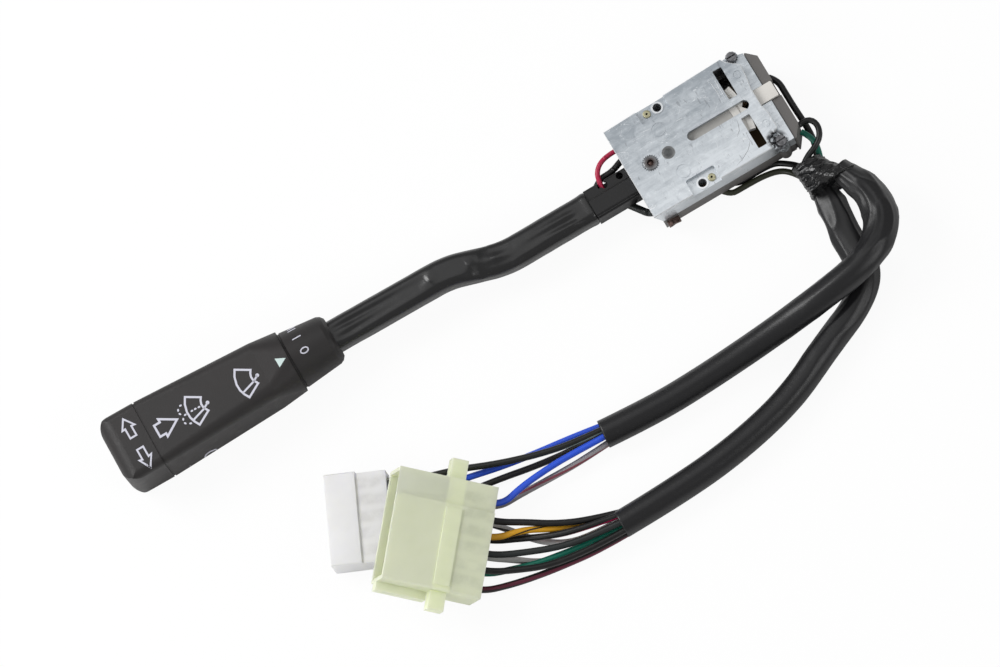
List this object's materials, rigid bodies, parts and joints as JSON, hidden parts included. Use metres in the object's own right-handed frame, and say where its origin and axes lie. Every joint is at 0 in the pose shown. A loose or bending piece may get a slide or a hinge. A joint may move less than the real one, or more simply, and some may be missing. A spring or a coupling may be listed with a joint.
{
  "type": "steering column combination switch",
  "caption": "Stalk switch with a turning grip, push-button end, metal mounting frame, and a wiring branch that ends in translucent plug housings.",
  "frame": {"origin": "on the underside of the bottom cover, under the turn pivot", "axes": "+X from the grip along the lever to the column end, +Z along the mounting plate's normal, +Y completes a right-handed set"},
  "size_m": [0.3086, 0.1427, 0.0319],
  "materials": {
    "zinc": "bright die-cast zinc, mottled",
    "steel": "zinc-plated steel",
    "spring_steel": "satin",
    "yellow_chromate": "yellow chromated",
    "brass": "satin",
    "brown_plastic": "matt grey-brown moulding",
    "board": "laminate",
    "white_acetal": "satin",
    "carrier": "glass-filled moulding",
    "black_steel": "black oxide",
    "heat_shrink": "satin heat-shrink",
    "knob": "fine grain, charcoal",
    "black_plastic": "moulded",
    "tape": "glossy PVC tape",
    "pvc_sleeve": "satin PVC sleeving",
    "lead_black": "PVC insulation",
    "lead_blue": "PVC insulation",
    "lead_green": "PVC insulation",
    "lead_yellow": "PVC insulation",
    "lead_red": "PVC insulation",
    "lead_maroon": "PVC insulation",
    "lead_grey": "PVC insulation",
    "lead_pale": "PVC insulation",
    "lead_slate": "PVC insulation",
    "lead_olive": "PVC insulation",
    "clear_white": "translucent nylon",
    "clear_yellow": "translucent nylon",
    "tin": "tinned"
  },
  "bodies": {
    "housing": {"frame": "zinc", "contact_housing": "brown_plastic", "bottom_cover": "brown_plastic", "housing_screws": "steel", "pivot_rivet": "steel", "stop_stud": "steel", "pad_rivets": "yellow_chromate", "contact_board": "board", "fixed_contacts": "brass", "solder_tags": "tin", "detent_track": "white_acetal", "cancel_spring": "spring_steel", "lever_lead_red": "lead_red", "lever_lead_black": "lead_black", "lever_lead_green": "lead_green", "tape_wrap": "tape", "sleeve_upper": "pvc_sleeve", "sleeve_lower": "pvc_sleeve", "lead_blue_a": "lead_blue", "lead_black_green": "lead_black", "lead_black_brown": "lead_black", "lead_blue_b": "lead_blue", "lead_grey": "lead_grey", "lead_black_a": "lead_black", "lead_black_red": "lead_red", "lead_yellow": "lead_yellow", "lead_pale_a": "lead_pale", "lead_slate": "lead_slate", "lead_pale_b": "lead_pale", "lead_green": "lead_green", "lead_black_b": "lead_black", "lead_maroon": "lead_maroon", "side_lead_olive": "lead_olive", "side_lead_black": "lead_black", "end_lead_green": "lead_green", "loop_lead": "lead_black", "end_lead_black": "lead_black", "white_connector": "clear_white", "white_terminals": "tin", "yellow_connector": "clear_yellow", "yellow_terminals": "tin"},
    "turn_carrier": {"turn_carrier": "carrier", "cam_sector": "white_acetal", "detent_spring": "spring_steel", "turn_bridge": "brass", "lever_pin": "steel"},
    "detent_plunger": {"detent_plunger": "steel"},
    "dip_slider": {"dip_slider": "white_acetal"},
    "lever": {"lever_core": "black_steel", "lever_sleeve": "heat_shrink", "index_ring": "knob", "wiper_contact_plate": "brass", "spindle_clip": "spring_steel"},
    "wiper_rotor": {"wiper_drum": "black_plastic", "washer_spring": "spring_steel"},
    "handle": {"handle_body": "knob", "horn_contact": "brass", "horn_spring": "spring_steel"},
    "horn_button": {"horn_button": "knob"},
    "cancel_pawl": {"cancel_pawl": "white_acetal"}
  },
  "joints": [
    {"name": "turn", "type": "hinge", "parent": "housing", "child": "turn_carrier", "pos_m": [0, 0, 0.0205], "axis": [0, 0, 1], "range_deg": [-11, 11], "deforming": ["lever_lead_red", "lever_lead_black", "lever_lead_green"]},
    {"name": "dip", "type": "hinge", "parent": "turn_carrier", "child": "lever", "pos_m": [0, 0, 0.0115], "axis": [0, 1, 0], "range_deg": [-5, 5]},
    {"name": "dip_slide", "type": "slide", "parent": "turn_carrier", "child": "dip_slider", "axis": [0, 0, 1], "range_m": [-0.00106, 0.00106]},
    {"name": "detent_slide", "type": "slide", "parent": "turn_carrier", "child": "detent_plunger", "axis": [1, 0, 0], "range_m": [-0.001, 0], "stiffness_N_per_m": 600, "springref_m": 0.002, "deforming": ["detent_spring"]},
    {"name": "wiper_turn", "type": "hinge", "parent": "lever", "child": "wiper_rotor", "pos_m": [-0.139, 0.00745, 0.0132], "axis": [-0.9998, 0.018, 0], "range_deg": [0, 64]},
    {"name": "washer_push", "type": "slide", "parent": "wiper_rotor", "child": "handle", "axis": [0.9998, -0.018, 0], "range_m": [0, 0.003], "stiffness_N_per_m": 800, "springref_m": -0.002, "deforming": ["washer_spring"]},
    {"name": "horn_press", "type": "slide", "parent": "handle", "child": "horn_button", "axis": [0.9998, -0.018, 0], "range_m": [0, 0.0007], "stiffness_N_per_m": 1500, "springref_m": -0.001, "deforming": ["horn_spring"]},
    {"name": "cancel", "type": "slide", "parent": "housing", "child": "cancel_pawl", "axis": [-1, 0, 0], "range_m": [0, 0.0025], "stiffness_N_per_m": 400, "springref_m": -0.001, "deforming": ["cancel_spring"]}
  ],
  "couplings": [
    {"joint": "dip_slide", "follows": "dip", "m_per_rad": -0.012}
  ]
}
